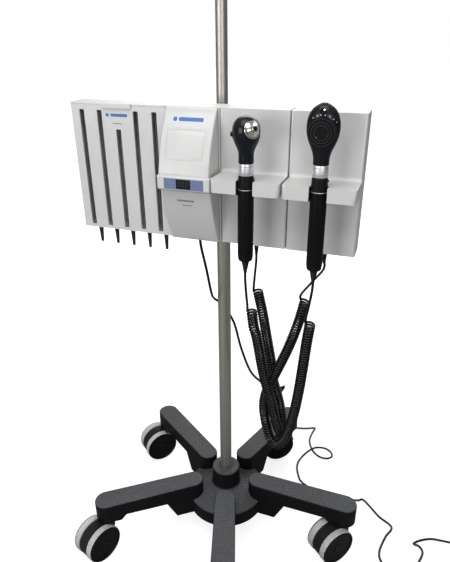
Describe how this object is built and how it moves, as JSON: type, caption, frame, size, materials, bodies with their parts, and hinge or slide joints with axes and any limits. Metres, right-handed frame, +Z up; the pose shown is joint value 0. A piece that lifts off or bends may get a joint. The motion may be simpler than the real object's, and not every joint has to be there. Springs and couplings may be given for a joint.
{
  "type": "mobile diagnostic station with otoscope",
  "caption": "Five-arm caster stand with a telescopic pole carrying a speculum dispenser, a control module and two cradled hand instruments on coiled cords.",
  "frame": {"origin": "on the floor, on the axis of the pole", "axes": "+Z up along the pole, the station faces -Y, +X to the right seen from the front"},
  "size_m": [0.8541, 0.7027, 1.176],
  "materials": {
    "arm_plastic": "fine grained moulded nylon",
    "black_plastic": "matte black moulding",
    "fork_plastic": "matte dark grey moulding",
    "grey_tread": "speckled grey tread, lightly scuffed",
    "steel": "drawn stainless tube",
    "aluminium": "anodised",
    "white_plastic": "off-white ABS, satin",
    "dark_inner": "dark grey moulding",
    "blue_film": "printed film",
    "black_gloss": "glossy black",
    "board_green": "solder-masked laminate",
    "rubber": "soft black liner",
    "black_grip": "fluted black grip",
    "satin_chrome": "satin plated",
    "polished_chrome": "polished plated",
    "clear_lens": "clear magnifier",
    "cord_black": "polyurethane cord"
  },
  "bodies": {
    "base": {"base_star": "arm_plastic", "pole_bush": "black_plastic", "base_bolt": "steel", "outer_pole": "steel", "height_collar": "black_plastic", "mains_cord": "cord_black"},
    "knob": {"height_knob": "black_plastic"},
    "mast": {"inner_pole": "steel", "pole_bracket": "aluminium", "bracket_strap": "aluminium", "bracket_screws": "steel", "back_plate": "aluminium", "dispenser_case": "dark_inner", "dispenser_cover": "white_plastic", "specula_stacks": "black_plastic", "control_case": "white_plastic", "control_cover": "white_plastic", "control_band": "white_plastic", "key_panel": "blue_film", "lcd_window": "black_gloss", "power_board": "board_green", "otoscope_holder": "white_plastic", "ophthalmoscope_holder": "white_plastic", "cradle_liners": "rubber", "oto_cord": "cord_black", "oph_cord": "cord_black"},
    "lid": {"dispenser_lid": "white_plastic"},
    "otoscope": {"oto_handle": "black_grip", "oto_collar": "satin_chrome"},
    "oto_ring": {"oto_switch_ring": "black_plastic"},
    "oto_head": {"oto_head": "black_plastic", "oto_lamp": "steel"},
    "oto_mount": {"oto_speculum_mount": "polished_chrome"},
    "oto_lens": {"oto_lens": "clear_lens"},
    "ophthalmoscope": {"oph_handle": "black_grip", "oph_collar": "satin_chrome"},
    "oph_ring": {"oph_switch_ring": "black_plastic"},
    "oph_head": {"oph_head": "black_plastic"},
    "oph_lens_wheel": {"oph_lens_wheel": "black_plastic"},
    "oph_aperture_dial": {"oph_aperture_dial": "black_plastic"},
    "fork_a": {"caster_a_fork": "fork_plastic"},
    "wheel_a": {"caster_a_wheels": "black_plastic", "caster_a_treads": "grey_tread"},
    "fork_b": {"caster_b_fork": "fork_plastic"},
    "wheel_b": {"caster_b_wheels": "black_plastic", "caster_b_treads": "grey_tread"},
    "fork_c": {"caster_c_fork": "fork_plastic"},
    "wheel_c": {"caster_c_wheels": "black_plastic", "caster_c_treads": "grey_tread"},
    "fork_d": {"caster_d_fork": "fork_plastic"},
    "wheel_d": {"caster_d_wheels": "black_plastic", "caster_d_treads": "grey_tread"},
    "fork_e": {"caster_e_fork": "fork_plastic"},
    "wheel_e": {"caster_e_wheels": "black_plastic", "caster_e_treads": "grey_tread"},
    "speculum_1": {"speculum_1": "black_gloss"},
    "speculum_2": {"speculum_2": "black_gloss"},
    "speculum_3": {"speculum_3": "black_gloss"},
    "speculum_4": {"speculum_4": "black_gloss"},
    "speculum_5": {"speculum_5": "black_gloss"}
  },
  "joints": [
    {"name": "height_slide", "type": "slide", "parent": "base", "child": "mast", "axis": [0, 0, 1], "range_m": [-0.04, 0.25], "deforming": ["mains_cord"]},
    {"name": "height_knob_turn", "type": "hinge", "parent": "base", "child": "knob", "pos_m": [0, 0.03, 0.78], "axis": [0, 1, 0], "range_deg": [0, 360]},
    {"name": "caster_a_swivel", "type": "hinge", "parent": "base", "child": "fork_a", "pos_m": [-0.22046, -0.16017, 0.096], "axis": [0, 0, 1], "continuous": true},
    {"name": "caster_a_roll", "type": "hinge", "parent": "fork_a", "child": "wheel_a", "pos_m": [-0.23243, -0.19306, 0.041], "axis": [0.9397, -0.342, 0], "continuous": true},
    {"name": "caster_b_swivel", "type": "hinge", "parent": "base", "child": "fork_b", "pos_m": [-0.22046, 0.16017, 0.096], "axis": [0, 0, 1], "continuous": true},
    {"name": "caster_b_roll", "type": "hinge", "parent": "fork_b", "child": "wheel_b", "pos_m": [-0.24295, 0.13336, 0.041], "axis": [0.766, -0.6428, 0], "continuous": true},
    {"name": "caster_c_swivel", "type": "hinge", "parent": "base", "child": "fork_c", "pos_m": [0.08421, 0.25916, 0.096], "axis": [0, 0, 1], "continuous": true},
    {"name": "caster_c_roll", "type": "hinge", "parent": "fork_c", "child": "wheel_c", "pos_m": [0.05625, 0.2381, 0.041], "axis": [0.6018, -0.7986, 0], "continuous": true},
    {"name": "caster_d_swivel", "type": "hinge", "parent": "base", "child": "fork_d", "pos_m": [0.2725, 0, 0.096], "axis": [0, 0, 1], "continuous": true},
    {"name": "caster_d_roll", "type": "hinge", "parent": "fork_d", "child": "wheel_d", "pos_m": [0.25, -0.02681, 0.041], "axis": [0.766, -0.6428, 0], "continuous": true},
    {"name": "caster_e_swivel", "type": "hinge", "parent": "base", "child": "fork_e", "pos_m": [0.08421, -0.25916, 0.096], "axis": [0, 0, 1], "continuous": true},
    {"name": "caster_e_roll", "type": "hinge", "parent": "fork_e", "child": "wheel_e", "pos_m": [0.06413, -0.28783, 0.041], "axis": [0.8192, -0.5736, 0], "continuous": true},
    {"name": "speculum_1_draw", "type": "slide", "parent": "mast", "child": "speculum_1", "axis": [0, 0, -1], "range_m": [0, 0.06]},
    {"name": "speculum_2_draw", "type": "slide", "parent": "mast", "child": "speculum_2", "axis": [0, 0, -1], "range_m": [0, 0.06]},
    {"name": "speculum_3_draw", "type": "slide", "parent": "mast", "child": "speculum_3", "axis": [0, 0, -1], "range_m": [0, 0.06]},
    {"name": "speculum_4_draw", "type": "slide", "parent": "mast", "child": "speculum_4", "axis": [0, 0, -1], "range_m": [0, 0.06]},
    {"name": "speculum_5_draw", "type": "slide", "parent": "mast", "child": "speculum_5", "axis": [0, 0, -1], "range_m": [0, 0.06]},
    {"name": "lid_hinge", "type": "hinge", "parent": "mast", "child": "lid", "pos_m": [-0.14, -0.055, 0.9425], "axis": [-1, 0, 0], "range_deg": [0, 95]},
    {"name": "otoscope_lift", "type": "slide", "parent": "mast", "child": "otoscope", "axis": [0, -1, 0], "range_m": [0, 0.12], "deforming": ["oto_cord"]},
    {"name": "oto_ring_turn", "type": "hinge", "parent": "otoscope", "child": "oto_ring", "pos_m": [0.0855, -0.137, 0.846], "axis": [0, 0, 1], "range_deg": [0, 90]},
    {"name": "oto_head_bayonet", "type": "hinge", "parent": "otoscope", "child": "oto_head", "pos_m": [0.0855, -0.137, 0.871], "axis": [0, 0, 1], "range_deg": [-30, 0]},
    {"name": "oto_mount_twist", "type": "hinge", "parent": "oto_head", "child": "oto_mount", "pos_m": [0.0855, -0.137, 0.919], "axis": [0.6762, -0.6762, 0.2924], "range_deg": [0, 30]},
    {"name": "oto_lens_swing", "type": "hinge", "parent": "oto_head", "child": "oto_lens", "pos_m": [0.06667, -0.11817, 0.92403], "axis": [0.6762, -0.6762, 0.2924], "range_deg": [0, 90]},
    {"name": "ophthalmoscope_lift", "type": "slide", "parent": "mast", "child": "ophthalmoscope", "axis": [0, -1, 0], "range_m": [0, 0.12], "deforming": ["oph_cord"]},
    {"name": "oph_ring_turn", "type": "hinge", "parent": "ophthalmoscope", "child": "oph_ring", "pos_m": [0.193, -0.137, 0.846], "axis": [0, 0, 1], "range_deg": [0, 90]},
    {"name": "oph_head_bayonet", "type": "hinge", "parent": "ophthalmoscope", "child": "oph_head", "pos_m": [0.193, -0.137, 0.871], "axis": [0, 0, 1], "range_deg": [-30, 0]},
    {"name": "oph_lens_wheel_turn", "type": "hinge", "parent": "oph_head", "child": "oph_lens_wheel", "pos_m": [0.193, -0.137, 0.926], "axis": [0.0349, -0.9994, 0], "continuous": true},
    {"name": "oph_aperture_turn", "type": "hinge", "parent": "oph_head", "child": "oph_aperture_dial", "pos_m": [0.193, -0.137, 0.926], "axis": [0.0349, -0.9994, 0], "range_deg": [-150, 150]}
  ]
}
